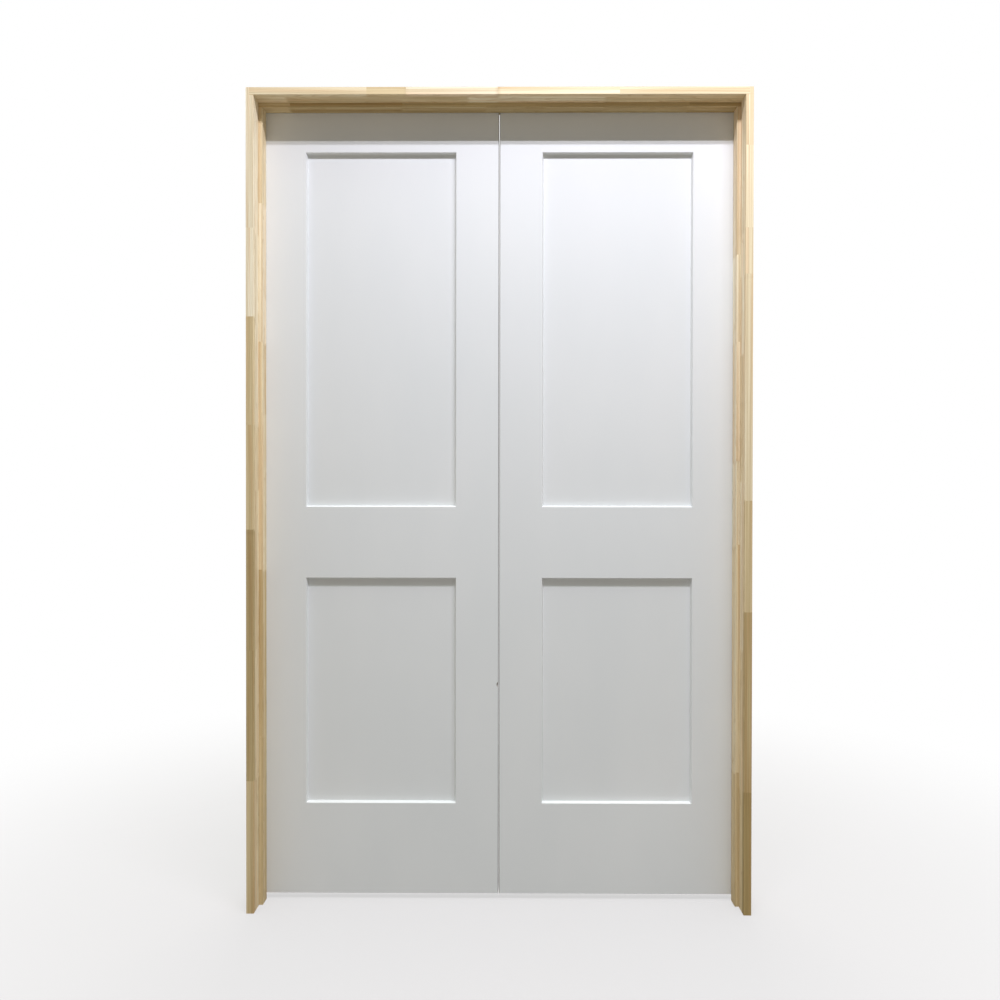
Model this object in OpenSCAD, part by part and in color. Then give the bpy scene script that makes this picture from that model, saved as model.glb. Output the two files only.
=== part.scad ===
// French doors: a pair of panelled leaves, hung in a timber frame that is ready to be set in a wall.
// X runs across the doorway, Y goes through it towards the side that the leaves open to, and Z is up.
// The origin is on the floor, at the middle of the doorway and of the frame's depth.

/* [Leaves] */
// Width of one leaf
leaf_w = 609.6; // [450:0.1:915]
// Height of one leaf
leaf_h = 2032; // [1900:1:2450]
// Thickness of a leaf
leaf_t = 35; // [32:0.5:45]
// Width of the stiles, across their face
stile_w = 110; // [100:1:140]
// Height of the top rail, on its face
top_rail_h = 108; // [80:1:160]
// Height of the middle rail, on its face
mid_rail_h = 184; // [100:1:240]
// Height of the bottom rail, on its face
bottom_rail_h = 235; // [150:1:300]
// Height between the middle and bottom rails, where the lower panel shows
lower_panel_h = 587; // [300:1:750]
// Thickness of the flat panels
panel_t = 12.7; // [8:0.1:16]
// Width of the steep slope around each panel
sticking_w = 3; // [1:0.5:6]
// Depth of the grooves that hold the panels
groove_d = 10; // [7:0.5:14]
// How far a panel stops short of the bottom of its grooves
panel_play = 1; // [0.5:0.1:2]
// Width of the bevel on the stiles' long outer edges
arris = 1; // [0.5:0.1:2]

/* [Frame] */
// Thickness of the side jambs and the head
jamb_t = 19; // [18.5:0.5:30]
// Depth of the frame, through the wall
jamb_depth = 116; // [100:1:200]
// Depth of the rabbet that takes the head in the top of each side jamb
rabbet_d = 10; // [6:0.5:12]
// Width of the stops, through the wall
stop_w = 35; // [20:1:50]
// Thickness of the stops
stop_t = 10; // [8:0.5:14]
// Radius of the eased edges of jambs and stops
ease_r = 1.5; // [0.5:0.1:3]

/* [Gaps] */
// Gap between a leaf and the jamb it hangs on
hinge_gap = 3; // [2.4:0.1:4]
// Gap between the two leaves, at their front faces
meeting_gap = 3; // [2.8:0.1:6]
// Gap between the two leaves at their back faces, where the bevelled meeting edges come nearest
meeting_back_gap = 1.2; // [1:0.1:2.6]
// Gap between the leaves and the head
head_gap = 3; // [2:0.1:3.6]
// Gap between the leaves and the floor
floor_gap = 15; // [5:1:25]
// Gap between a closed leaf and the stops
stop_gap = 1; // [0.5:0.1:3]

/* [Hinges] */
// Height of a hinge
hinge_h = 89; // [76:1:102]
// How far a hinge plate is let into the wood from its edge
hinge_in = 29; // [26:1:31]
// Thickness of a hinge plate
plate_t = 2.2; // [1.8:0.1:2.6]
// Radius of a hinge plate's corners
corner_r = 16; // [2:1:16]
// Radius of the knuckles
knuckle_r = 5.5; // [5:0.1:7]
// Radius of the hinge pins
pin_r = 3; // [2.5:0.1:3.5]
// Distance from the top of a leaf to its top hinge
hinge_top = 178; // [120:1:250]
// Distance from the bottom of a leaf to its bottom hinge
hinge_bottom = 279; // [150:1:350]
// Radial running clearance of the leaves' knuckles on their pin
pin_clear = 0.06; // [0.02:0.01:0.1]
// Gap between one knuckle and the next
knuckle_gap = 0.4; // [0.2:0.1:0.8]
// Gap between a knuckle and the plate beside it
knuckle_clear = 0.4; // [0.3:0.1:1]
// How far the knuckles stand off the back of the frame
knuckle_off = 1; // [0.6:0.1:2]
// Gap around a plate that is let into wood
mortise_play = 0.25; // [0.1:0.05:0.5]

/* [Screws and nails] */
// Radius of a hinge screw's head
screw_head_r = 4.25; // [4:0.05:5]
// Radius of a hinge screw's shank
screw_r = 2.1; // [1.8:0.05:2.4]
// Length of the hinge screws
screw_l = 18; // [14:0.5:18]
// How far the outer screws of a plate are from its ends
screw_end = 15; // [13:0.5:16]
// Radius of a brad
brad_r = 0.6; // [0.5:0.05:0.9]
// Length of a brad
brad_l = 25; // [20:1:26]
// Width of a staple's crown
staple_w = 6.4; // [5:0.1:12]
// Thickness of a staple's wire
staple_t = 1.3; // [1:0.1:1.6]
// Length of a staple's legs
staple_l = 40; // [30:1:60]

/* [Ball catches] */
// Distance from a leaf's meeting edge to its catch
catch_in = 64; // [45:1:70]
// Radius of the ball
ball_r = 5.5; // [5:0.1:6]
// How far the ball reaches into the strike's hole
catch_bite = 0.6; // [0.4:0.1:0.8]
// Gap between the ball and the metal around it
ball_clear = 0.45; // [0.4:0.05:0.5]
// Width of a faceplate and a strike, across the doorway
faceplate_w = 54; // [50:1:60]
// Depth of a faceplate and a strike, through the doorway
faceplate_d = 25; // [20:1:28]
// Thickness of a faceplate
faceplate_t = 1.8; // [1.5:0.1:2.2]
// Thickness of a strike
strike_t = 1; // [0.8:0.1:1.2]
// Radius of the hole in a strike
strike_r = 4; // [3.8:0.1:5]
// Depth of the pocket in the head above a strike
pocket_d = 5; // [3:0.5:8]
// How much wider than the strike's hole the pocket is, all round
pocket_play = 1; // [0.5:0.1:2]
// Outer radius of a catch's barrel
barrel_r = 8; // [7.6:0.1:9]
// Length of a catch's barrel
barrel_l = 33; // [30:1:40]
// Thickness of the barrel's floor
barrel_floor = 1.5; // [1:0.1:2]
// Outer radius of the catch spring
spring_r = 4.5; // [4.2:0.1:4.8]
// Thickness of the catch spring's wire
spring_wire = 1.2; // [0.8:0.1:1.4]
// Radius of a catch screw's head
catch_head_r = 3.2; // [3:0.1:3.6]
// Radius of a catch screw's shank
catch_screw_r = 1.6; // [1.4:0.1:1.8]
// Length of the catch screws
catch_screw_l = 14; // [10:0.5:16]

/* [Chip] */
// Height of the chip in the left leaf, above the floor
chip_z = 559; // [100:1:1900]
// Length of the chip
chip_l = 15; // [4:1:30]
// Width of the chip, on the leaf's face
chip_w = 5; // [2:0.5:8]

/* [Hidden] */
$fn = 48;
SIDES = ["left", "right"];
LEVELS = ["top", "middle", "bottom"];
LEAF_PIECES = ["hinge_stile", "meeting_stile", "top_rail", "middle_rail", "bottom_rail",
               "upper_panel", "lower_panel"];
HINGE_PIECES = ["jamb_plate", "leaf_plate", "pin"];
CATCH_PIECES = ["faceplate", "barrel", "ball", "spring", "strike"];

// Room that cutting shapes take beyond the surface they cut
over = 1;
// Gap that keeps the spring just under the ball
spring_gap = 0.05;
// How far a screw hole is deeper than its screw
hole_spare = 0.5;
// Length and blunt radius of a screw's point
point_l = 4;
point_r = 0.2;
// Corner radius of the faceplates and strikes
faceplate_r = 5;
// Distance of a faceplate's screws from its ends
faceplate_screw_end = 7;
// Number of brads along a side stop and along the head stop, and the outer ones' distance from its ends
side_brads = 5;
head_brads = 5;
brad_end = 90;
// Number of staples in each end of the head, and the outer ones' distance from the frame's faces
staples = 3;
staple_end = 20;
// Height and rim radius of the head of a hinge pin
pin_head_h = 3;
pin_head_r = 5;

// Places that follow from the sizes
leaf_in = meeting_gap / 2;
leaf_out = leaf_in + leaf_w;
leaf_bottom = floor_gap;
leaf_top = leaf_bottom + leaf_h;
leaf_back = jamb_depth / 2;
leaf_mid = leaf_back - leaf_t / 2;
leaf_front = leaf_back - leaf_t;
open_half = leaf_out + hinge_gap;
head_z = leaf_top + head_gap;
frame_top = head_z + jamb_t;
stop_back = leaf_front - stop_gap;
lower_from = leaf_bottom + bottom_rail_h;
lower_to = lower_from + lower_panel_h;
upper_from = lower_to + mid_rail_h;
upper_to = leaf_top - top_rail_h;
slope_end = stile_w + sticking_w;
groove_end = slope_end - groove_d;

hinge_x = leaf_out + hinge_gap / 2;
hinge_y = leaf_back + knuckle_off + knuckle_r;
knuckle_l = (hinge_h - 4 * knuckle_gap) / 5;
top_hinge_z = leaf_top - hinge_top - hinge_h / 2;
bottom_hinge_z = leaf_bottom + hinge_bottom + hinge_h / 2;
middle_hinge_z = (top_hinge_z + bottom_hinge_z) / 2;
hinge_zs = [top_hinge_z, middle_hinge_z, bottom_hinge_z];

catch_x = leaf_in + catch_in;
ball_proud = head_gap - strike_t + catch_bite;
ball_z = leaf_top + ball_proud - ball_r;
faceplate_z = leaf_top - faceplate_t;
strike_z = head_z - strike_t;
barrel_bore = ball_r + ball_clear;
spring_from = faceplate_z - barrel_l + barrel_floor;
spring_hole = spring_r - spring_wire;
spring_to = ball_z - sqrt(ball_r ^ 2 - spring_hole ^ 2) - spring_gap;

pine = "burlywood";
primer = "whitesmoke";
nickel = "silver";
steel = "lightsteelblue";

// ---- Helpers ----

// The right-hand half of the object is drawn, and this turns it into the left-hand one
module on(side) {
    if (side == "left") mirror([1, 0, 0]) children();
    else children();
}

// Extrudes a shape drawn in Y and Z along X
module along_x(from, length) {
    translate([from, 0, 0]) rotate([90, 0, 90]) linear_extrude(length) children();
}

// Extrudes a shape drawn in X and Z along Y
module along_y(from, length) {
    translate([0, from + length, 0]) rotate([90, 0, 0]) linear_extrude(length) children();
}

module along_z(from, length) {
    translate([0, 0, from]) linear_extrude(length) children();
}

// A board's section: its face is on the Y axis with both edges eased, and its back is at x = thick
module board_section(thick, wide) {
    translate([0, ease_r]) square([thick, wide - 2 * ease_r]);
    translate([ease_r, 0]) square([thick - ease_r, wide]);
    for (y = [ease_r, wide - ease_r]) translate([ease_r, y]) circle(ease_r);
}

// Turns a board's section so that its eased face looks down
module face_down() {
    mirror([1, -1]) children();
}

module rounded_plate(w, d, r) {
    square([w - 2 * r, d], center = true);
    square([w, d - 2 * r], center = true);
    for (x = [-1, 1], y = [-1, 1])
        translate([x * (w / 2 - r), y * (d / 2 - r)]) circle(r);
}

// A countersunk screw that points along +Z from the surface at z = 0
module screw(head_r, head_h, shank_r, length) {
    cylinder(r1 = head_r, r2 = shank_r, h = head_h);
    translate([0, 0, head_h]) cylinder(r = shank_r, h = length - head_h - point_l);
    translate([0, 0, length - point_l]) cylinder(r1 = shank_r, r2 = point_r, h = point_l);
}

// The hole for such a screw, through the plate and into the wood
module screw_hole(head_r, head_h, shank_r, length) {
    translate([0, 0, -over]) cylinder(r = head_r, h = over);
    cylinder(r1 = head_r, r2 = shank_r, h = head_h);
    translate([0, 0, head_h]) cylinder(r = shank_r, h = length - head_h + hole_spare);
}

// ---- Leaves ----

// A stile's section, with its outer edge's front on the Y axis and its groove and slopes at the far side.
// The outer edge leans out by lean from its front to its back.
module stile_section(lean) {
    face = leaf_t / 2;
    groove = panel_t / 2;
    per_mm = lean / leaf_t;
    polygon([
        [-arris * per_mm, arris - face], [arris, -face], [stile_w, -face], [slope_end, -groove],
        [groove_end, -groove], [groove_end, groove],
        [slope_end, groove], [stile_w, face], [arris - lean, face], [arris * per_mm - lean, face - arris]
    ]);
}

module stile(outer_edge, turned, lean = 0) {
    translate([outer_edge, leaf_mid, leaf_bottom]) mirror([turned ? 1 : 0, 0, 0])
        linear_extrude(leaf_h) stile_section(lean);
}

// A rail's plan: its ends are coped over the stiles' slopes, and tenons fill the stiles' grooves
module rail_plan() {
    face = leaf_t / 2;
    groove = panel_t / 2;
    far = leaf_w - stile_w;
    polygon([
        [stile_w, -face], [slope_end, -groove], [groove_end, -groove],
        [groove_end, groove], [slope_end, groove], [stile_w, face],
        [far, face], [leaf_w - slope_end, groove], [leaf_w - groove_end, groove],
        [leaf_w - groove_end, -groove], [leaf_w - slope_end, -groove], [far, -face]
    ]);
}

// The points of a rail's edge at height z, in Y and Z. A moulded edge has slopes and a groove.
// up is 1 for an upper edge and -1 for a lower one, and the points run from the front to the back.
function rail_edge(z, moulded, up) =
    let (face = leaf_t / 2, groove = panel_t / 2, tip = z + up * sticking_w, floor = tip - up * groove_d)
    moulded
        ? [[-face, z], [-groove, tip], [-groove, floor], [groove, floor], [groove, tip], [face, z]]
        : [[-face, z], [face, z]];

function reversed(list) = [for (i = [len(list) - 1 : -1 : 0]) list[i]];

module rail(from, to, moulded_below, moulded_above) {
    color(primer) translate([leaf_in, leaf_mid, 0]) intersection() {
        along_x(0, leaf_w)
            polygon(concat(rail_edge(from, moulded_below, -1), reversed(rail_edge(to, moulded_above, 1))));
        along_z(from - 2 * sticking_w, to - from + 4 * sticking_w) rail_plan();
    }
}

module panel(from, to) {
    edge = groove_end + panel_play;
    lap = stile_w - edge;
    color(primer) translate([leaf_in + edge, leaf_mid - panel_t / 2, from - lap])
        cube([leaf_w - 2 * edge, panel_t, to - from + 2 * lap]);
}

module hinge_stile() {
    color(primer) difference() {
        stile(leaf_out, true);
        for (z = hinge_zs) {
            hinge_mortise(leaf_out - plate_t, z);
            leaf_screw_places(z) hinge_screw_hole();
        }
    }
}

module meeting_stile(side) {
    color(primer) difference() {
        stile(leaf_in, false, leaf_in - meeting_back_gap / 2);
        translate([catch_x, leaf_mid, faceplate_z])
            linear_extrude(faceplate_t + over)
                rounded_plate(faceplate_w + 2 * mortise_play, faceplate_d + 2 * mortise_play,
                              faceplate_r + mortise_play);
        translate([catch_x, leaf_mid, faceplate_z - barrel_l]) cylinder(r = barrel_r, h = barrel_l + over);
        catch_screw_places(leaf_top, 180) catch_screw_hole();
        if (side == "left") chip();
    }
}

// A shallow scoop out of the meeting edge's front corner
module chip() {
    deep = chip_w / sqrt(2);
    scoop_r = (chip_l ^ 2 / 4 + deep ^ 2) / (2 * deep);
    translate([leaf_in, leaf_front, chip_z]) rotate([0, 0, -45])
        translate([0, deep - scoop_r, 0]) rotate([0, 90, 0])
            cylinder(r = scoop_r, h = 4 * chip_w, center = true);
}

// ---- Frame ----

module jamb() {
    color(pine) difference() {
        intersection() {
            along_z(0, frame_top) translate([open_half, -jamb_depth / 2]) board_section(jamb_t, jamb_depth);
            along_y(-jamb_depth / 2, jamb_depth) polygon([
                [open_half, 0], [open_half + jamb_t, 0], [open_half + jamb_t, frame_top],
                [open_half + rabbet_d, frame_top], [open_half + rabbet_d, head_z], [open_half, head_z]
            ]);
        }
        for (z = hinge_zs) {
            hinge_mortise(open_half, z);
            jamb_screw_places(z) hinge_screw_hole();
        }
        side_brad_places() brad();
        staple_places() staple();
    }
}

module head() {
    half = open_half + rabbet_d;
    color(pine) difference() {
        along_x(-half, 2 * half) translate([-jamb_depth / 2, head_z]) face_down()
            board_section(jamb_t, jamb_depth);
        for (side = SIDES) on(side) {
            staple_places() staple();
            translate([catch_x, leaf_mid, head_z - over]) cylinder(r = strike_r + pocket_play, h = pocket_d + over);
            catch_screw_places(strike_z, 0) catch_screw_hole();
        }
        head_brad_places() brad();
    }
}

module side_stop() {
    color(pine) difference() {
        along_z(0, head_z - stop_t) translate([open_half - stop_t, stop_back - stop_w])
            board_section(stop_t, stop_w);
        side_brad_places() brad();
    }
}

module head_stop() {
    color(pine) difference() {
        along_x(-open_half, 2 * open_half) translate([stop_back - stop_w, head_z - stop_t]) face_down()
            board_section(stop_t, stop_w);
        head_brad_places() brad();
    }
}

// ---- Staples and brads ----

module brad() {
    cylinder(r = brad_r, h = brad_l);
}

module side_brad_places() {
    last = head_z - stop_t - brad_end;
    for (i = [0 : side_brads - 1])
        translate([open_half - stop_t, stop_back - stop_w / 2, brad_end + i * (last - brad_end) / (side_brads - 1)])
            rotate([0, 90, 0]) children();
}

module head_brad_places() {
    last = open_half - brad_end;
    for (i = [0 : head_brads - 1])
        translate([-last + i * 2 * last / (head_brads - 1), stop_back - stop_w / 2, head_z - stop_t]) children();
}

module stop_brads() {
    color(steel) {
        for (side = SIDES) on(side) side_brad_places() brad();
        head_brad_places() brad();
    }
}

// A staple that points along -X, with its crown flush with the jamb's back
module staple() {
    translate([-staple_t, -staple_w / 2, -staple_t / 2]) cube([staple_t, staple_w, staple_t]);
    for (y = [-staple_w / 2, staple_w / 2 - staple_t])
        translate([-staple_l, y, -staple_t / 2]) cube([staple_l, staple_t, staple_t]);
}

module staple_places() {
    last = jamb_depth / 2 - staple_end;
    for (i = [0 : staples - 1])
        translate([open_half + jamb_t, -last + i * 2 * last / (staples - 1), head_z + jamb_t / 2]) children();
}

module head_staples() {
    color(steel) for (side = SIDES) on(side) staple_places() staple();
}

// ---- Hinges ----

// A plate's outline in Y and Z about the hinge's middle, grown all round by play
module plate_outline(play = 0) {
    far = leaf_back - hinge_in;
    translate([far + corner_r, -hinge_h / 2 - play])
        square([hinge_y - far - corner_r, hinge_h + 2 * play]);
    translate([far - play, corner_r - hinge_h / 2]) square([corner_r + play, hinge_h - 2 * corner_r]);
    for (end = [-1, 1])
        translate([far + corner_r, end * (hinge_h / 2 - corner_r)]) circle(corner_r + play);
}

module hinge_mortise(from, z) {
    translate([0, 0, z]) along_x(from, plate_t) plate_outline(mortise_play);
}

// Stacks a cylinder at each of the listed knuckle places, which count from the bottom
module knuckles(places, r, more = 0) {
    for (i = places)
        translate([hinge_x, hinge_y, i * (knuckle_l + knuckle_gap) - hinge_h / 2 - more])
            cylinder(r = r, h = knuckle_l + 2 * more);
}

// A plate with its own knuckles, cut back around the other plate's ones
module hinge_half(from, own, others, bore_r) {
    difference() {
        union() {
            difference() {
                along_x(from, plate_t) plate_outline();
                knuckles(others, knuckle_r + knuckle_clear, knuckle_gap);
            }
            knuckles(own, knuckle_r);
        }
        translate([hinge_x, hinge_y, -hinge_h / 2 - over]) cylinder(r = bore_r, h = hinge_h + 2 * over);
    }
}

module jamb_plate(z) {
    color(nickel) difference() {
        translate([0, 0, z]) hinge_half(open_half, [0, 2, 4], [1, 3], pin_r);
        jamb_screw_places(z) hinge_screw_hole();
    }
}

module leaf_plate(z) {
    color(nickel) difference() {
        translate([0, 0, z]) hinge_half(leaf_out - plate_t, [1, 3], [0, 2, 4], pin_r + pin_clear);
        leaf_screw_places(z) hinge_screw_hole();
    }
}

// A pin with a domed head on top and a short domed tip below
module hinge_pin(z) {
    color(nickel) translate([hinge_x, hinge_y, z]) {
        translate([0, 0, -hinge_h / 2]) cylinder(r = pin_r, h = hinge_h);
        translate([0, 0, hinge_h / 2]) dome(pin_head_r, pin_head_h);
        mirror([0, 0, 1]) translate([0, 0, hinge_h / 2]) dome(pin_r, pin_head_h / 2);
    }
}

// A low dome on the plane z = 0, cut from a sphere
module dome(r, h) {
    ball = (r ^ 2 + h ^ 2) / (2 * h);
    intersection() {
        translate([0, 0, h - ball]) sphere(ball, $fn = 96);
        cylinder(r = r, h = h + over);
    }
}

// Where a plate's three screws go: the middle one is nearer the knuckles than the other two
module plate_screw_places(z) {
    for (spot = [[-1, 0.62], [0, 0.34], [1, 0.62]])
        translate([0, leaf_back - spot[1] * hinge_in, z + spot[0] * (hinge_h / 2 - screw_end)]) children();
}

module jamb_screw_places(z) {
    translate([open_half, 0, 0]) plate_screw_places(z) rotate([0, 90, 0]) children();
}

module leaf_screw_places(z) {
    translate([leaf_out, 0, 0]) plate_screw_places(z) rotate([0, -90, 0]) children();
}

module hinge_screw() {
    screw(screw_head_r, plate_t, screw_r, screw_l);
}

module hinge_screw_hole() {
    screw_hole(screw_head_r, plate_t, screw_r, screw_l);
}

module jamb_hinge_screws() {
    color(nickel) for (side = SIDES, z = hinge_zs) on(side) jamb_screw_places(z) hinge_screw();
}

module leaf_hinge_screws() {
    color(nickel) for (z = hinge_zs) leaf_screw_places(z) hinge_screw();
}

// ---- Ball catches ----

module catch_screw_places(z, turn) {
    for (x = [-1, 1])
        translate([catch_x + x * (faceplate_w / 2 - faceplate_screw_end), leaf_mid, z])
            rotate([turn, 0, 0]) children();
}

module catch_screw() {
    screw(catch_head_r, faceplate_t, catch_screw_r, catch_screw_l);
}

module catch_screw_hole() {
    screw_hole(catch_head_r, faceplate_t, catch_screw_r, catch_screw_l);
}

// The ball's radius at a height above its middle, and the hole that clears it there
function ball_hole(above) = sqrt(ball_r ^ 2 - above ^ 2) + ball_clear;

module faceplate() {
    color(nickel) difference() {
        translate([catch_x, leaf_mid, faceplate_z])
            linear_extrude(faceplate_t) rounded_plate(faceplate_w, faceplate_d, faceplate_r);
        translate([catch_x, leaf_mid, faceplate_z])
            cylinder(r1 = ball_hole(faceplate_z - ball_z), r2 = ball_hole(leaf_top - ball_z), h = faceplate_t);
        catch_screw_places(leaf_top, 180) catch_screw_hole();
    }
}

module barrel() {
    color(nickel) translate([catch_x, leaf_mid, faceplate_z - barrel_l]) difference() {
        cylinder(r = barrel_r, h = barrel_l);
        translate([0, 0, barrel_floor]) cylinder(r = barrel_bore, h = barrel_l);
    }
}

module catch_ball() {
    color(nickel) translate([catch_x, leaf_mid, ball_z]) sphere(ball_r);
}

// The coil spring as the tube that it fills
module catch_spring() {
    color(steel) translate([catch_x, leaf_mid, spring_from]) difference() {
        cylinder(r = spring_r, h = spring_to - spring_from);
        translate([0, 0, -over]) cylinder(r = spring_hole, h = spring_to - spring_from + 2 * over);
    }
}

module strike() {
    color(nickel) difference() {
        translate([catch_x, leaf_mid, strike_z])
            linear_extrude(strike_t) rounded_plate(faceplate_w, faceplate_d, faceplate_r);
        translate([catch_x, leaf_mid, strike_z - over]) cylinder(r = strike_r, h = strike_t + 2 * over);
        catch_screw_places(strike_z, 0) catch_screw_hole();
    }
}

module strike_screws() {
    color(nickel) for (side = SIDES) on(side) catch_screw_places(strike_z, 0) catch_screw();
}

module leaf_catch_screws() {
    color(nickel) catch_screw_places(leaf_top, 180) catch_screw();
}

// ---- Every node ----

on("left") jamb();  // left_jamb
on("right") jamb();  // right_jamb
head();
on("left") side_stop();  // left_stop
on("right") side_stop();  // right_stop
head_stop();
head_staples();
stop_brads();
jamb_hinge_screws();
strike_screws();

for (side = SIDES) on(side) {
    hinge_stile();
    meeting_stile(side);
    rail(upper_to, leaf_top, true, false);
    rail(lower_to, upper_from, true, true);
    rail(leaf_bottom, lower_from, false, true);
    panel(upper_from, upper_to);
    panel(lower_from, lower_to);
    leaf_hinge_screws();

    for (i = [0 : len(LEVELS) - 1]) {
        jamb_plate(hinge_zs[i]);
        leaf_plate(hinge_zs[i]);
        hinge_pin(hinge_zs[i]);
    }

    faceplate();
    barrel();
    catch_ball();
    catch_spring();
    strike();
    leaf_catch_screws();
}
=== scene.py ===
import math

import bmesh
import bpy
from mathutils import Matrix, Vector


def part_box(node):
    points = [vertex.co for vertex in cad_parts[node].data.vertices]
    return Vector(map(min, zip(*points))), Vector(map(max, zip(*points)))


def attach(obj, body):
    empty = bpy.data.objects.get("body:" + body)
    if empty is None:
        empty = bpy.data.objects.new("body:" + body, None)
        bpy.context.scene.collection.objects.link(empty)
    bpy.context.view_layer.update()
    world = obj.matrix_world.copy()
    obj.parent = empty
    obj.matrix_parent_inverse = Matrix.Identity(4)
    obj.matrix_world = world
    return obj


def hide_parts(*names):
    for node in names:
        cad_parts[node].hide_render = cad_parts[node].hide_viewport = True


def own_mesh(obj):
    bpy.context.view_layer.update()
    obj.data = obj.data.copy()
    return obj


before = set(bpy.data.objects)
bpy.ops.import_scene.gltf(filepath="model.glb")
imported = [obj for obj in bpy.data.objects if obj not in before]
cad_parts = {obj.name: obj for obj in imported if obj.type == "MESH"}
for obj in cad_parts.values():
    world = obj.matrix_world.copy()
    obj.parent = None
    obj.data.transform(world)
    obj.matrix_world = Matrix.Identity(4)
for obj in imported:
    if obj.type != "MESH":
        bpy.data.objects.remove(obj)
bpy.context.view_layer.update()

MM = 0.001
SIDES = ("left", "right")
LEVELS = ("top", "middle", "bottom")
BOARDS = ("left_jamb", "right_jamb", "head", "left_stop", "right_stop", "head_stop")
LEAF_PIECES = (
    "hinge_stile", "meeting_stile", "top_rail", "middle_rail", "bottom_rail",
    "upper_panel", "lower_panel",
)

# Screws as (head radius, head depth, shank radius, length, thread pitch)
HINGE_SCREW = (4.25 * MM, 2.2 * MM, 2.1 * MM, 18 * MM, 1.5 * MM)
CATCH_SCREW = (3.2 * MM, 1.8 * MM, 1.6 * MM, 14 * MM, 1.2 * MM)
# A screw's head: its straight rim as a share of its depth, and a cross recess that narrows to its floor
HEAD_SIDES = 32
HEAD_RIM = 0.12
RIM_BEVEL = 0.12 * MM
RECESS_WIDTH = 1.15 * MM
RECESS_SPAN = 1.15
RECESS_DEPTH = 0.72
RECESS_FLOOR = 0.45
# A screw's shank, as shares of its length, with the thread's core as a share of the shank
PLAIN_SHANK = 0.25
CORE_SHOULDER = 0.05
POINT_LENGTH = 0.18
POINT_TIP = 0.08
THREADED = 0.55
CORE_SHARE = 0.74
THREAD_ROOT = 0.92
THREAD_WIRE = 0.66
THREAD_STEPS = 12
# Degrees that each driven screw's recess is turned past the one before it
SCREW_TURN = 37
SMOOTH_BELOW = math.radians(40)

SPRING_WIRE = 1.2 * MM
SPRING_SIDES = 8
SPRING_STEPS = 24
SPRING_TURNS = 9

# The camera stands in front of the stop side, at about the middle of the frame's height
CAMERA_PLACE = (0.0145, -2.1578, 1.0543)
CAMERA_PITCH = -0.399
CAMERA_ROLL = -0.069
CAMERA_YAW = 0.316
CAMERA_LENS = 30.25
CAMERA_SENSOR = 36

# A wide soft light behind the doorway, for the floor and the leaves' far side
BACK_LIGHT_SIZE = 2.2
BACK_LIGHT_PLACE = (0.0, 2.3, 2.9)
BACK_LIGHT_TILT = -30
BACK_LIGHT_POWER = 50

# Two ceiling tubes side by side in front of the doorway, under a softly lit ceiling
TUBE_LENGTH = 1.5
TUBE_WIDTH = 0.035
TUBE_GAP = 0.11
TUBE_PLACE = (0.42, -1.08, 3.15)
TUBE_POWER = 28
TUBE_COLOUR = (0.90, 0.90, 1.0)
CEILING_LIGHT = (1.96, 2.06, 1.86)
WALL_LIGHT = (0.20, 0.19, 0.175)
FAR_FLOOR_LIGHT = (0.33, 0.31, 0.27)
BACKDROP = (1.0, 1.0, 1.0)
# Where the walls' light gives way to the ceiling's, in degrees up, and to the far floor's, from 0 to 1
CEILING_FROM = 48
CEILING_BLEND = 4
FAR_FLOOR_TO = 0.48
WALLS_FROM = 0.51

# The floor is see-through all over, and fades out between two distances from the doorway
FLOOR_COLOUR = (0.425, 0.40, 0.415)
FLOOR_SOLID = 0.41
FLOOR_NEAR = 0.6
FLOOR_FAR = 2.4
FLOOR_MARGIN = 0.5
FLOOR_SIDES = 96


# ---- Building shader graphs ----

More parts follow.
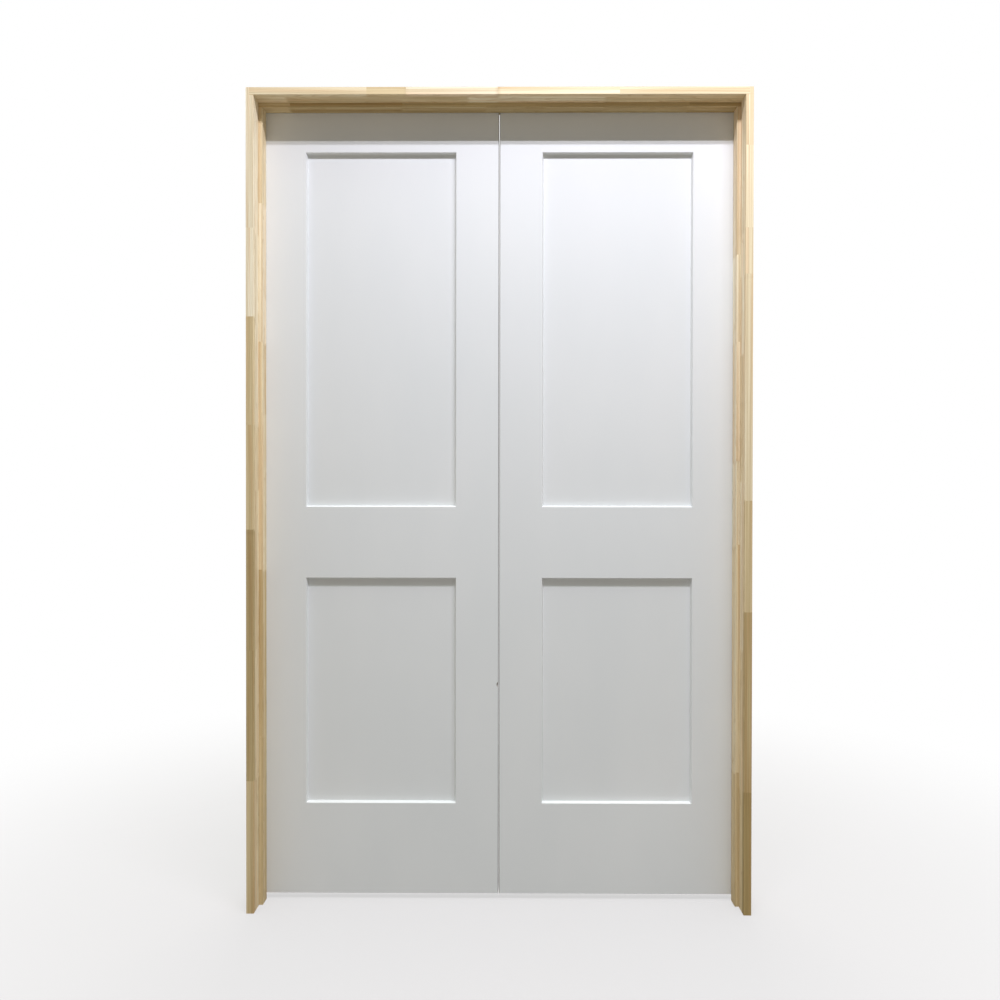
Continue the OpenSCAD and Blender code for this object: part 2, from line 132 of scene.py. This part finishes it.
class Graph:
    """A material's node tree, with short calls for the nodes that most finishes need."""

    def __init__(self, name):
        self.material = bpy.data.materials.new(name)
        self.material.use_nodes = True
        self.nodes = self.material.node_tree.nodes
        self.links = self.material.node_tree.links
        self.nodes.clear()
        self.output = self.nodes.new("ShaderNodeOutputMaterial")
        self.shader = self.nodes.new("ShaderNodeBsdfPrincipled")
        self.links.new(self.shader.outputs["BSDF"], self.output.inputs["Surface"])
        place = self.nodes.new("ShaderNodeTexCoord").outputs["Object"]
        split = self.add("ShaderNodeSeparateXYZ", {"Vector": place})
        self.x, self.y, self.z = split.outputs

    def put(self, socket, value):
        if isinstance(value, bpy.types.NodeSocket):
            self.links.new(value, socket)
        else:
            socket.default_value = value

    def add(self, kind, inputs=None, **settings):
        node = self.nodes.new(kind)
        for key, value in settings.items():
            setattr(node, key, value)
        for key, value in (inputs or {}).items():
            self.put(node.inputs[key], value)
        return node

    def finish(self, **inputs):
        for key, value in inputs.items():
            self.put(self.shader.inputs[key.replace("_", " ")], value)
        return self.material

    def math(self, operation, *values):
        node = self.add("ShaderNodeMath", operation=operation)
        for socket, value in zip(node.inputs, values):
            self.put(socket, value)
        return node.outputs[0]

    def distance(self, across, along):
        squares = [self.math("POWER", side, 2.0) for side in (across, along)]
        return self.math("SQRT", self.math("ADD", *squares))

    def point(self, x, y, z):
        return self.add("ShaderNodeCombineXYZ", {"X": x, "Y": y, "Z": z}).outputs[0]

    def stretched(self, x, y, z):
        """The object's coordinates, each multiplied by its own density."""
        axes = zip((self.x, self.y, self.z), (x, y, z))
        return self.point(*[self.math("MULTIPLY", axis, density) for axis, density in axes])

    def every(self, first, *others):
        """1 where every one of the tests is true, and 0 elsewhere."""
        for other in others:
            first = self.math("MULTIPLY", first, other)
        return first

    def noise(self, place, detail=2.0, roughness=0.5):
        inputs = {"Vector": place, "Scale": 1.0, "Detail": detail, "Roughness": roughness}
        return self.add("ShaderNodeTexNoise", inputs).outputs["Fac"]

    def span(self, value, low, high, out_low=0.0, out_high=1.0, **settings):
        inputs = {0: value, 1: low, 2: high, 3: out_low, 4: out_high}
        return self.add("ShaderNodeMapRange", inputs, **settings).outputs[0]

    def ramp(self, factor, stops, between="LINEAR"):
        node = self.add("ShaderNodeValToRGB", {"Fac": factor})
        node.color_ramp.interpolation = between
        elements = node.color_ramp.elements
        while len(elements) < len(stops):
            elements.new(0.5)
        for element, (place, colour, *alpha) in zip(elements, stops):
            element.position = place
            element.color = (*colour, *(alpha or (1,)))
        return node.outputs["Color"]

    def mix(self, factor, first, second, blend="MIX"):
        node = self.add("ShaderNodeMix", data_type="RGBA", blend_type=blend)
        sockets = (node.inputs[0], node.inputs[6], node.inputs[7])
        for socket, value in zip(sockets, (factor, first, second)):
            self.put(socket, (*value, 1) if isinstance(value, tuple) else value)
        return node.outputs[2]

    def tint(self, factor, under, colour):
        """A colour laid over another as a stain would be."""
        return self.mix(factor, under, colour, "MULTIPLY")

    def bump(self, height, distance, strength):
        inputs = {"Height": height, "Distance": distance, "Strength": strength}
        return self.add("ShaderNodeBump", inputs).outputs["Normal"]


# ---- Finishes ----

# The pine's shades, from sapwood to heartwood
SHADES = {
    "cream": (0.76, 0.71, 0.57),
    "straw": (0.70, 0.63, 0.46),
    "honey": (0.62, 0.53, 0.34),
    "tan": (0.47, 0.38, 0.21),
    "brown": (0.36, 0.27, 0.12),
}
# Each board's glued blocks, as where a block starts (mm up the jamb, or across the head) and its shade.
# A board with a front lamella has a strip of other blocks along its front edge.
BLOCKS = {
    "left_jamb": (
        (0, "straw"), (330, "straw"), (660, "straw"), (1060, "straw"), (1230, "cream"),
        (1480, "cream"), (1710, "cream"),
    ),
    "left_jamb_front": (
        (0, "honey"), (330, "tan"), (660, "tan"), (960, "honey"), (1230, "honey"), (1500, "cream"),
        (1720, "cream"),
    ),
    "right_jamb": (
        (0, "honey"), (310, "straw"), (660, "cream"), (1090, "straw"), (1410, "cream"), (1710, "cream"),
    ),
    "right_jamb_front": (
        (0, "brown"), (310, "tan"), (760, "honey"), (1040, "straw"), (1600, "straw"), (1720, "straw"),
        (1920, "straw"),
    ),
    "left_stop": (
        (0, "honey"), (430, "honey"), (860, "straw"), (1260, "straw"), (1440, "cream"), (1790, "straw"),
    ),
    "right_stop": (
        (0, "honey"), (340, "straw"), (920, "cream"), (1140, "cream"), (1440, "cream"), (1660, "cream"),
    ),
    "head": (
        (-660, "straw"), (-540, "honey"), (-330, "honey"), (-80, "straw"), (270, "honey"), (420, "honey"),
    ),
    "head_front": ((-660, "straw"), (-330, "honey"), (-230, "cream"), (0, "straw"), (300, "straw")),
    "head_stop": ((-660, "honey"), (-540, "tan"), (-250, "tan"), (-40, "tan"), (270, "tan"), (480, "tan")),
}
BOARD_SPAN = 2100 * MM
FRONT_LAMELLA = -45 * MM
FINGER_PITCH = 4.4 * MM
FINGER_LENGTH = 9 * MM
GLUE_LINE = 0.5 * MM
RING_PITCH = 3.6 * MM
STRIP_WIDTH = 23 * MM
# How much of a shade is left once its grain is drawn over it, on average
GRAIN_LEAVES = 0.70
# Depth of the rings, pores and glue lines in the wood's surface
GRAIN_DEPTH = 0.12 * MM
# Numbers that keep the chances of neighbouring strips, blocks and lamellas apart
STRIP_SEED = 7.31
BLOCK_SEED = 61.7
LAMELLA_SEED = 3.0
GRAIN_SHIFT = 41.0
# How far the pith may lie from a board's middle, across its side and across its width
PITH_OFF_SIDE = 0.07
PITH_OFF_WIDTH = 0.10
RING_WANDER = 0.05
# Stains over a block's shade: a block's own greyness, late wood, streaks, heartwood, pores and glue
GREYED = (0.86, 0.83, 0.78)
LATE_WOOD = (0.74, 0.64, 0.48)
STREAK = (0.75, 0.68, 0.57)
PINK_STREAK = (0.95, 0.79, 0.67)
HEARTWOOD = (0.80, 0.68, 0.53)
PORES = (0.62, 0.50, 0.38)
GLUE = (0.60, 0.50, 0.38)

PRIMER_DULL = (0.825, 0.847, 0.855)
PRIMER_CLEAN = (0.86, 0.877, 0.882)
ORANGE_PEEL = 0.05 * MM
# Painted shade of the seam between the leaves: a dark grey on their meeting edges, and how far it reaches
# on to their arrises
SEAM_SHADE_GREY = (0.28, 0.27, 0.255)
EDGE_REACH = 1.4 * MM
EDGE_SKIN = 0.1 * MM
# The chip in the left leaf's meeting edge, and the fibreboard that shows in it
CHIP_HEIGHT = 559 * MM
CHIP_HALF = 9 * MM
CHIP_REACH = 12 * MM
CHIP_DEPTH = 8 * MM
CHIP_SKIN = 0.25 * MM
FIBRE_DARK = (0.42, 0.40, 0.37)
FIBRE_PALE = (0.57, 0.55, 0.52)

NICKEL_DARK = (0.60, 0.575, 0.535)
NICKEL_PALE = (0.68, 0.655, 0.62)
ZINC_DARK = (0.55, 0.56, 0.58)
ZINC_PALE = (0.72, 0.73, 0.74)
PLATE_GRAIN = 0.02 * MM


def blocks_along(g, place, start, blocks):
    """The shade and number of the block at each place of a board, and where two blocks are glued."""
    at = [(mm * MM - start) / BOARD_SPAN for mm, shade in blocks]
    stops = []
    for number, (p, (mm, shade)) in enumerate(zip(at, blocks), 1):
        stops.append((p, [value / GRAIN_LEAVES for value in SHADES[shade]], number / len(blocks)))
    tone = g.ramp(place, stops, "CONSTANT")
    number = tone.node.outputs["Alpha"]
    line = GLUE_LINE / BOARD_SPAN
    joints = [(p + k * line, (1 - abs(k),) * 3) for p in at[1:] for k in (-1, 0, 1)]
    glue = g.ramp(place, [(0.0, (0,) * 3)] + joints)
    return tone, number, glue


def pine(board, along):
    """Bare finger-jointed pine: strips of short blocks, each with its own rings, glued up into a board."""
    g = Graph("pine_" + board)
    length, side = (g.z, g.x) if along == "z" else (g.x, g.z)
    start = 0 if along == "z" else -BOARD_SPAN / 2

    # Fingers zigzag across the board's width, so its narrow edges show straight joints
    zigzag = g.math("PINGPONG", g.y, FINGER_PITCH / 2)
    fingered = g.math("MULTIPLY_ADD", zigzag, 2 * FINGER_LENGTH / FINGER_PITCH, length)
    place = g.span(fingered, start, start + BOARD_SPAN)
    tone, number, glue = blocks_along(g, place, start, BLOCKS[board])
    if board + "_front" in BLOCKS:
        front_tone, front_number, front_glue = blocks_along(g, place, start, BLOCKS[board + "_front"])
        behind = g.math("GREATER_THAN", g.y, FRONT_LAMELLA)
        tone, glue = g.mix(behind, front_tone, tone), g.mix(behind, front_glue, glue)
        further = g.math("SUBTRACT", g.math("ADD", number, LAMELLA_SEED), front_number)
        number = g.math("MULTIPLY_ADD", behind, further, front_number)

    # Growth rings about a pith that lies in another place for each block of each strip
    strip = g.math("FLOOR", g.math("DIVIDE", g.y, STRIP_WIDTH))
    seed = g.math("MULTIPLY_ADD", strip, STRIP_SEED, g.math("MULTIPLY", number, BLOCK_SEED))
    chance = g.add("ShaderNodeTexWhiteNoise", {"W": seed}, noise_dimensions="1D").outputs["Color"]
    chance = g.add("ShaderNodeSeparateColor", {"Color": chance}).outputs
    shift = g.math("MULTIPLY", chance[0], GRAIN_SHIFT)

    def along_grain(across, lengthwise, more=shift):
        """A place in the wood, measured closely across the grain and loosely along it."""
        return g.point(g.math("MULTIPLY", side, across), g.math("MULTIPLY", g.y, across),
                       g.math("MULTIPLY_ADD", length, lengthwise, more))

    wander = g.noise(along_grain(9.0, 2.2), detail=3.0)
    pith_side = g.math("MULTIPLY_ADD", chance[0], 2 * PITH_OFF_SIDE, -PITH_OFF_SIDE)
    pith_y = g.math("MULTIPLY_ADD", chance[1], 2 * PITH_OFF_WIDTH, -PITH_OFF_WIDTH)
    reach = g.distance(g.math("SUBTRACT", side, pith_side), g.math("SUBTRACT", g.y, pith_y))
    bent = g.math("MULTIPLY_ADD", wander, RING_WANDER, reach)
    ring = g.math("FRACT", g.math("DIVIDE", bent, RING_PITCH))
    late = g.ramp(ring, ((0.0, (0.1,) * 3), (0.55, (0.25,) * 3), (0.9, (1,) * 3), (1.0, (0.1,) * 3)))

    # Tan and pinkish streaks, heartwood in part of a block, and pores
    streak = g.noise(along_grain(190.0, 1.4), detail=4.0, roughness=0.6)
    pink = g.span(g.noise(along_grain(95.0, 1.1), detail=2.0), 0.50, 0.62)
    heart = g.span(g.noise(along_grain(38.0, 1.2), detail=2.0), 0.54, 0.68)
    pores = g.noise(along_grain(2600.0, 90.0, more=0.0), detail=1.0)
    colour = g.tint(g.span(chance[2], 0.0, 1.0, 0.0, 0.5), tone, GREYED)
    colour = g.tint(g.math("MULTIPLY", late, 0.5), colour, LATE_WOOD)
    colour = g.tint(g.span(streak, 0.38, 0.62, 0.9, 0.0), colour, STREAK)
    colour = g.tint(g.math("MULTIPLY", pink, 0.55), colour, PINK_STREAK)
    colour = g.tint(g.math("MULTIPLY", heart, 0.5), colour, HEARTWOOD)
    colour = g.tint(g.span(pores, 0.62, 0.75, 0.0, 0.3), colour, PORES)
    colour = g.tint(g.math("MULTIPLY", glue, 0.4), colour, GLUE)

    height = g.math("SUBTRACT", g.math("MULTIPLY_ADD", late, 0.5, pores), g.math("MULTIPLY", glue, 1.5))
    return g.finish(
        Base_Color=colour,
        Roughness=g.span(late, 0.0, 1.0, 0.72, 0.58),
        Normal=g.bump(height, GRAIN_DEPTH, 0.6),
    )


def primer(name, edge=None, chip=None):
    """White sprayed primer with a fine orange peel.

    A meeting edge and its arrises get a dark grey, painted shade of the seam between the leaves, and at a
    chip the bare fibreboard shows.
    """
    g = Graph(name)
    cloud = g.noise(g.stretched(5.0, 5.0, 2.0), detail=3.0)
    colour = g.ramp(cloud, ((0.3, PRIMER_DULL), (0.7, PRIMER_CLEAN)))
    peel = g.noise(g.stretched(620.0, 620.0, 620.0), detail=2.0)
    nap = g.noise(g.stretched(260.0, 260.0, 30.0), detail=3.0)
    roughness = g.span(cloud, 0.3, 0.7, 0.50, 0.42)
    if edge:
        # Painted shade: a dark grey on the meeting edge and its arrises, for the shade in the seam between
        # the leaves
        seam_shade_mask = g.every(
            g.math("LESS_THAN", g.math("ABSOLUTE", g.x), edge["reach"]),
            g.math("GREATER_THAN", g.y, edge["front"] + EDGE_SKIN),
            g.math("LESS_THAN", g.y, edge["back"] - EDGE_SKIN),
        )
        colour = g.mix(seam_shade_mask, colour, SEAM_SHADE_GREY)
    if chip:
        from_edge = g.math("SUBTRACT", chip["edge"], g.x)
        bare = g.every(
            g.math("GREATER_THAN", from_edge, CHIP_SKIN),
            g.math("LESS_THAN", from_edge, CHIP_REACH),
            g.math("GREATER_THAN", g.y, chip["front"] + CHIP_SKIN),
            g.math("LESS_THAN", g.y, chip["front"] + CHIP_DEPTH),
            g.math("LESS_THAN", g.math("ABSOLUTE", g.math("SUBTRACT", g.z, CHIP_HEIGHT)), CHIP_HALF),
        )
        fibres = g.noise(g.stretched(900.0, 900.0, 1400.0), detail=3.0)
        board = g.ramp(fibres, ((0.35, FIBRE_DARK), (0.65, FIBRE_PALE)))
        colour = g.mix(bare, colour, board)
        roughness = g.math("MAXIMUM", roughness, g.math("MULTIPLY", bare, 0.9))
        peel = g.math("ADD", peel, g.math("MULTIPLY", bare, fibres))
    height = g.math("MULTIPLY_ADD", nap, 0.6, peel)
    return g.finish(Base_Color=colour, Roughness=roughness, Normal=g.bump(height, ORANGE_PEEL, 0.5))


def satin_nickel():
    """Brushed nickel plate, with the brushing along the hinges' height."""
    g = Graph("satin_nickel")
    brushing = g.noise(g.stretched(3200.0, 3200.0, 90.0), detail=3.0)
    cloud = g.noise(g.stretched(60.0, 60.0, 60.0), detail=2.0)
    colour = g.ramp(cloud, ((0.3, NICKEL_DARK), (0.7, NICKEL_PALE)))
    return g.finish(
        Base_Color=colour,
        Metallic=1.0,
        Roughness=g.math("MULTIPLY_ADD", brushing, 0.22, 0.22),
        Normal=g.bump(brushing, PLATE_GRAIN, 0.5),
    )


def zinc():
    """Bright zinc plate on brads, staples and springs."""
    g = Graph("zinc_plate")
    speckle = g.noise(g.stretched(1500.0, 1500.0, 1500.0), detail=2.0)
    colour = g.ramp(speckle, ((0.3, ZINC_DARK), (0.7, ZINC_PALE)))
    return g.finish(
        Base_Color=colour,
        Metallic=1.0,
        Roughness=g.math("MULTIPLY_ADD", speckle, 0.25, 0.2),
        Normal=g.bump(speckle, PLATE_GRAIN, 0.4),
    )


def deselect():
    bpy.ops.object.select_all(action="DESELECT")


def dress(node, material):
    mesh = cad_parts[node].data
    mesh.materials.clear()
    mesh.materials.append(material)


def dress_boards():
    for board in BOARDS:
        dress(board, pine(board, "x" if board.startswith("head") else "z"))


def dress_leaves():
    white = primer("white_primer")
    for side in SIDES:
        for piece in LEAF_PIECES:
            dress(f"{side}_{piece}", white)
    low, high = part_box("left_meeting_stile")
    # The meeting edges get painted shade of the seam between the leaves, and the left one also has the
    # chip
    edge = {"front": low.y, "back": high.y, "reach": EDGE_REACH - high.x}
    chip = {"front": low.y, "edge": high.x}
    dress("right_meeting_stile", primer("seam_shaded_primer", edge))
    dress("left_meeting_stile", primer("chipped_and_seam_shaded_primer", edge, chip))


def dress_metal():
    nickel, plate = satin_nickel(), zinc()
    for side in SIDES:
        for level in LEVELS:
            for piece in ("jamb_plate", "leaf_plate", "pin"):
                dress(f"{side}_{level}_hinge_{piece}", nickel)
        for piece in ("faceplate", "barrel", "ball", "strike"):
            dress(f"{side}_catch_{piece}", nickel)
    for node in ("head_staples", "stop_brads"):
        dress(node, plate)
    return plate


# ---- Screws and springs ----

def new_piece(name):
    """The piece that was just added, given its name, with its place put into its mesh."""
    piece = bpy.context.object
    bpy.ops.object.transform_apply(location=True, rotation=True, scale=True)
    piece.name = name
    return piece


def choose(piece, wanted):
    """Select the faces of a piece in edit mode whose middles are wanted."""
    mesh = bmesh.from_edit_mesh(piece.data)
    for face in mesh.faces:
        face.select_set(wanted(face.calc_center_median()))
    mesh.select_flush(True)
    bmesh.update_edit_mesh(piece.data)


def apply(piece, kind, **settings):
    bpy.context.view_layer.objects.active = piece
    modifier = piece.modifiers.new(kind.lower(), kind)
    for key, value in settings.items():
        setattr(modifier, key, value)
    bpy.ops.object.modifier_apply(modifier=modifier.name)


def join(name, pieces):
    deselect()
    for piece in pieces:
        piece.select_set(True)
    bpy.context.view_layer.objects.active = pieces[0]
    if len(pieces) > 1:
        bpy.ops.object.join()
    pieces[0].name = pieces[0].data.name = name
    return pieces[0]


def helix(name, wire, wire_sides, from_axis, pitch, turns, steps, base):
    """A wire wound round the Z axis, with closed ends."""
    deselect()
    bpy.ops.mesh.primitive_circle_add(
        vertices=wire_sides, radius=wire, fill_type="NOTHING",
        location=(from_axis, 0, base), rotation=(math.radians(90), 0, 0),
    )
    coil = new_piece(name)
    apply(coil, "SCREW", screw_offset=pitch, iterations=turns, steps=steps, render_steps=steps)
    bpy.ops.object.mode_set(mode="EDIT")
    bpy.ops.mesh.select_all(action="SELECT")
    bpy.ops.mesh.fill_holes(sides=0)
    bpy.ops.mesh.select_all(action="SELECT")
    bpy.ops.mesh.normals_make_consistent(inside=False)
    bpy.ops.object.mode_set(mode="OBJECT")
    bpy.ops.object.shade_smooth_by_angle(angle=SMOOTH_BELOW)
    return coil


def recess_cutter(head_r, depth):
    """A cross of two bars that taper downwards."""
    bars = []
    for turn in (0, 90):
        deselect()
        bpy.ops.mesh.primitive_cube_add(size=1, rotation=(0, 0, math.radians(turn)))
        bar = bpy.context.object
        bar.scale = (head_r * RECESS_SPAN, RECESS_WIDTH, 2 * depth)
        bar = new_piece("recess_bar")
        bpy.ops.object.mode_set(mode="EDIT")
        choose(bar, lambda middle: middle.z < -0.9 * depth)
        bpy.ops.transform.resize(value=(RECESS_FLOOR, RECESS_FLOOR, 1))
        bpy.ops.object.mode_set(mode="OBJECT")
        bars.append(bar)
    return bars


def wood_screw(name, head_r, head_h, shank_r, length, pitch):
    """A countersunk cross-head screw, its head's face at z = 0 and its point straight down."""
    core_r = shank_r * CORE_SHARE
    deselect()
    bpy.ops.mesh.primitive_circle_add(vertices=HEAD_SIDES, radius=head_r, fill_type="NGON")
    head = new_piece(name)
    bpy.ops.object.mode_set(mode="EDIT")
    bpy.ops.mesh.select_all(action="SELECT")
    core_length = (1 - PLAIN_SHANK - CORE_SHOULDER - POINT_LENGTH) * length - head_h
    # Steps down the screw, as how far down and how much narrower: rim, countersink, shank, core and point
    shape = (
        (HEAD_RIM * head_h, 1.0),
        ((1 - HEAD_RIM) * head_h, shank_r / head_r),
        (PLAIN_SHANK * length, 1.0),
        (CORE_SHOULDER * length, core_r / shank_r),
        (core_length, 1.0),
        (POINT_LENGTH * length, POINT_TIP),
    )
    for drop, narrower in shape:
        bpy.ops.mesh.extrude_region_move(TRANSFORM_OT_translate={"value": (0, 0, -drop)})
        bpy.ops.transform.resize(value=(narrower, narrower, 1))
    bpy.ops.mesh.select_all(action="SELECT")
    bpy.ops.mesh.normals_make_consistent(inside=False)
    bpy.ops.object.mode_set(mode="OBJECT")
    apply(head, "BEVEL", width=RIM_BEVEL, segments=2, limit_method="ANGLE", angle_limit=math.radians(60))
    for bar in recess_cutter(head_r, RECESS_DEPTH * head_h):
        deselect()
        apply(head, "BOOLEAN", operation="DIFFERENCE", object=bar, solver="EXACT")
        bpy.data.objects.remove(bar)
    head.select_set(True)
    bpy.ops.object.shade_smooth_by_angle(angle=SMOOTH_BELOW)
    turns = int(THREADED * length / pitch)
    wire = (shank_r - core_r * THREAD_ROOT) * THREAD_WIRE
    thread_end = -(PLAIN_SHANK + CORE_SHOULDER) * length - turns * pitch
    thread = helix(name + "_thread", wire, 3, shank_r - wire, pitch, turns, THREAD_STEPS, thread_end)
    return join(name, [head, thread])


def solids_of(node):
    """Each separate solid in a CAD node, as the middle of its widest end and the way that end faces."""
    merged = bmesh.new()
    merged.from_mesh(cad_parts[node].data)
    bmesh.ops.remove_doubles(merged, verts=merged.verts, dist=0.001 * MM)
    left = set(merged.verts)
    found = []
    while left:
        group, edge = set(), [left.pop()]
        while edge:
            vert = edge.pop()
            group.add(vert)
            near = {e.other_vert(vert) for e in vert.link_edges} & left
            left -= near
            edge.extend(near)
        points = [v.co.copy() for v in group]
        low = Vector([min(p[i] for p in points) for i in range(3)])
        high = Vector([max(p[i] for p in points) for i in range(3)])
        middle = (low + high) / 2
        axis = max(range(3), key=lambda i: high[i] - low[i])
        widest = max(points, key=lambda p: sum((p[i] - middle[i]) ** 2 for i in range(3) if i != axis))
        face = middle.copy()
        outward = Vector((0, 0, 0))
        at_high = widest[axis] > middle[axis]
        face[axis] = high[axis] if at_high else low[axis]
        outward[axis] = 1 if at_high else -1
        found.append((face, outward))
    merged.free()
    return sorted(found, key=lambda solid: tuple(round(c, 5) for c in solid[0]))


def drive_screws(node, body, master):
    """Copies of a screw in each place of a CAD node's screws, each turned its own way."""
    copies = []
    for i, (face, outward) in enumerate(solids_of(node)):
        screw = master.copy()
        screw.data = master.data.copy()
        bpy.context.scene.collection.objects.link(screw)
        turn = Matrix.Rotation(math.radians(SCREW_TURN * i % 90), 4, "Z")
        aim = outward.to_track_quat("Z", "Y").to_matrix().to_4x4()
        screw.data.transform(Matrix.Translation(face) @ aim @ turn)
        copies.append(screw)
    piece = join("driven_" + node, copies)
    piece.data.materials.clear()
    piece.data.materials.append(bpy.data.materials["satin_nickel"])
    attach(piece, body)
    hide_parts(node)


def screws():
    hinge, catch = wood_screw("hinge_screw", *HINGE_SCREW), wood_screw("catch_screw", *CATCH_SCREW)
    drive_screws("jamb_hinge_screws", "frame", hinge)
    drive_screws("strike_screws", "frame", catch)
    for side in SIDES:
        drive_screws(side + "_leaf_hinge_screws", side + "_leaf", hinge)
        drive_screws(side + "_catch_screws", side + "_leaf", catch)
    for master in (hinge, catch):
        bpy.data.objects.remove(master)


def springs(plate):
    """The spring in each catch's barrel, wound as a coil of wire."""
    for side in SIDES:
        low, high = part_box(side + "_catch_spring")
        tall = high.z - low.z
        pitch = (tall - SPRING_WIRE) / SPRING_TURNS
        coil_r = (high.x - low.x - SPRING_WIRE) / 2
        coil = helix(side + "_catch_coil", SPRING_WIRE / 2, SPRING_SIDES, coil_r,
                     pitch, SPRING_TURNS, SPRING_STEPS, SPRING_WIRE / 2)
        foot = Vector(((low.x + high.x) / 2, (low.y + high.y) / 2, low.z))
        coil.data.transform(Matrix.Translation(foot))
        coil.data.materials.append(plate)
        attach(coil, side + "_leaf")
        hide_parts(side + "_catch_spring")
        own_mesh(coil)


# ---- Floor, light and camera ----

def floor():
    """A plain pale floor that fades into the backdrop."""
    deselect()
    bpy.ops.mesh.primitive_circle_add(
        vertices=FLOOR_SIDES, radius=FLOOR_FAR + FLOOR_MARGIN, fill_type="NGON",
    )
    disc = bpy.context.object
    disc.name = "floor"
    g = Graph("pale_floor")
    away = g.distance(g.x, g.y)
    solid = g.span(away, FLOOR_NEAR, FLOOR_FAR, FLOOR_SOLID, 0.0, interpolation_type="SMOOTHSTEP")
    g.finish(Base_Color=(*FLOOR_COLOUR, 1), Roughness=0.9, Alpha=solid)
    g.put(g.shader.inputs["Specular IOR Level"], 0.1)
    disc.data.materials.append(g.material)


def backdrop():
    """Plain white behind the object, and light from a glowing ceiling, fainter walls and a far floor."""
    world = bpy.data.worlds.new("studio")
    bpy.context.scene.world = world
    world.use_nodes = True
    nodes, links = world.node_tree.nodes, world.node_tree.links
    nodes.clear()
    direction = nodes.new("ShaderNodeTexCoord").outputs["Generated"]
    split = nodes.new("ShaderNodeSeparateXYZ")
    links.new(direction, split.inputs[0])
    upward = nodes.new("ShaderNodeMapRange")
    upward.inputs["From Min"].default_value = -1
    links.new(split.outputs["Z"], upward.inputs["Value"])
    glow = nodes.new("ShaderNodeValToRGB")
    links.new(upward.outputs["Result"], glow.inputs["Fac"])
    turns = (CEILING_FROM - CEILING_BLEND, CEILING_FROM + CEILING_BLEND)
    rise = [0.5 + 0.5 * math.sin(math.radians(turn)) for turn in turns]
    brightest = max(CEILING_LIGHT)
    lights = (CEILING_LIGHT, WALL_LIGHT, FAR_FLOOR_LIGHT)
    ceiling, walls, far_floor = [[c / brightest for c in light] for light in lights]
    stops = ((FAR_FLOOR_TO, far_floor), (WALLS_FROM, walls), (rise[0], walls), (rise[1], ceiling))
    elements = glow.color_ramp.elements
    while len(elements) < len(stops):
        elements.new(0.5)
    for element, (place, colour) in zip(elements, stops):
        element.position = place
        element.color = (*colour, 1)
    soft = nodes.new("ShaderNodeBackground")
    soft.inputs["Strength"].default_value = brightest
    links.new(glow.outputs["Color"], soft.inputs["Color"])
    plain = nodes.new("ShaderNodeBackground")
    plain.inputs["Color"].default_value = (*BACKDROP, 1)
    seen = nodes.new("ShaderNodeLightPath").outputs["Is Camera Ray"]
    both = nodes.new("ShaderNodeMixShader")
    links.new(seen, both.inputs[0])
    links.new(soft.outputs[0], both.inputs[1])
    links.new(plain.outputs[0], both.inputs[2])
    output = nodes.new("ShaderNodeOutputWorld")
    links.new(both.outputs[0], output.inputs["Surface"])


def tubes():
    for i, y in enumerate((-TUBE_GAP / 2, TUBE_GAP / 2)):
        light = bpy.data.lights.new(f"ceiling_tube_{i}", "AREA")
        light.shape = "RECTANGLE"
        light.size, light.size_y = TUBE_LENGTH, TUBE_WIDTH
        light.energy = TUBE_POWER
        light.color = TUBE_COLOUR
        lamp = bpy.data.objects.new(light.name, light)
        lamp.location = Vector(TUBE_PLACE) + Vector((0, y, 0))
        bpy.context.scene.collection.objects.link(lamp)


def back_light():
    light = bpy.data.lights.new("back_light", "AREA")
    light.size = BACK_LIGHT_SIZE
    light.energy = BACK_LIGHT_POWER
    lamp = bpy.data.objects.new(light.name, light)
    lamp.location = BACK_LIGHT_PLACE
    lamp.rotation_euler = (math.radians(BACK_LIGHT_TILT), 0, 0)
    bpy.context.scene.collection.objects.link(lamp)


def camera():
    view = bpy.data.cameras.new("camera")
    view.lens = CAMERA_LENS
    view.sensor_width = CAMERA_SENSOR
    eye = bpy.data.objects.new("camera", view)
    eye.location = CAMERA_PLACE
    eye.rotation_euler = [math.radians(turn) for turn in (90 + CAMERA_PITCH, CAMERA_ROLL, CAMERA_YAW)]
    bpy.context.scene.collection.objects.link(eye)
    bpy.context.scene.camera = eye


bpy.context.scene.view_settings.view_transform = "Standard"
dress_boards()
dress_leaves()
plate = dress_metal()
screws()
springs(plate)
floor()
backdrop()
tubes()
back_light()
camera()
